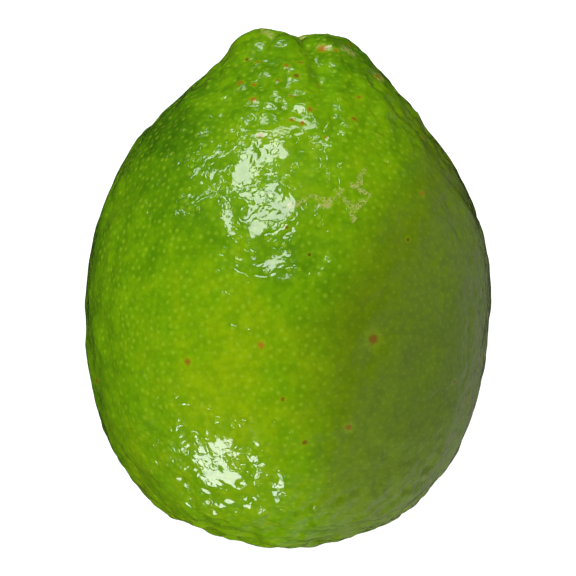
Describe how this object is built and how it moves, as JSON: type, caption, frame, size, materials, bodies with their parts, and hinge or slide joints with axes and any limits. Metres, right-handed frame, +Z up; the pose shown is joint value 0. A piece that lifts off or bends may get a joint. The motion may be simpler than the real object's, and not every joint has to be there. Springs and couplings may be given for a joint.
{
  "type": "lime",
  "caption": "Whole ripe lime, an oval citrus fruit with a lobed neck at its narrow stem end, lying on its side.",
  "frame": {"origin": "centre of the small flat spot that the fruit rests on, on the ground", "axes": "+Z up, square to the ground; +Y along the fruit, from its broad blossom end to its narrow stem end; +X across it"},
  "size_m": [0.0485, 0.0621, 0.0468],
  "materials": {
    "peel": "glossy, pitted by oil glands"
  },
  "bodies": {
    "root": {"lime": "peel"}
  },
  "joints": []
}
